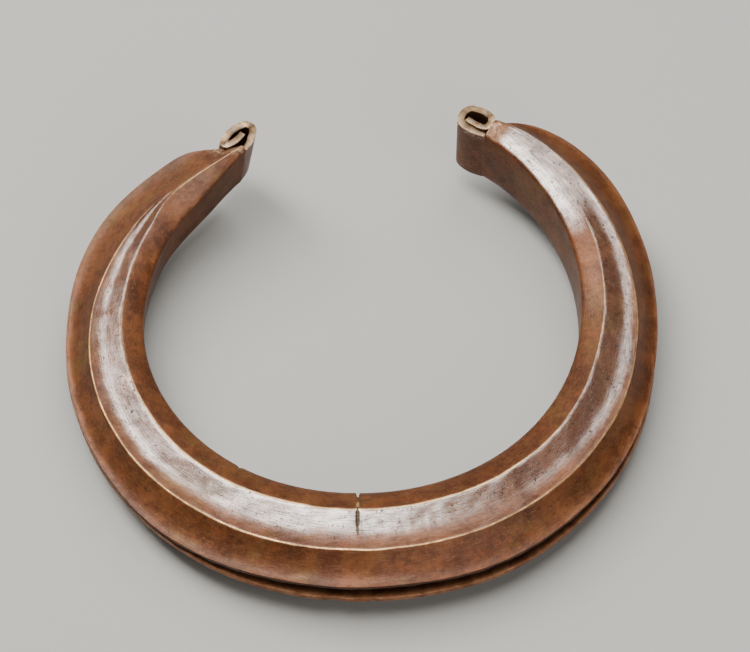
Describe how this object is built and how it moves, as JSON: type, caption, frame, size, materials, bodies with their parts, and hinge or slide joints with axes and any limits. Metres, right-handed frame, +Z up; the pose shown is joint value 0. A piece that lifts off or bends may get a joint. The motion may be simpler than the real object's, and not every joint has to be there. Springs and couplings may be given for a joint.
{
  "type": "torc",
  "caption": "Open bronze neck ring with a ridged hollow channel section, open along the outer side, and a rolled scroll at each end.",
  "frame": {"origin": "middle of the outline seen from above, on the ground the torc lies on", "axes": "+Z up as it lies flat, +Y from the wide front towards the opening between the scrolled ends, +X towards the arm whose wall stands upright"},
  "size_m": [0.1972, 0.1794, 0.0386],
  "materials": {
    "bronze": "worn brown patina with polished ridges"
  },
  "bodies": {
    "root": {"torc": "bronze"}
  },
  "joints": []
}
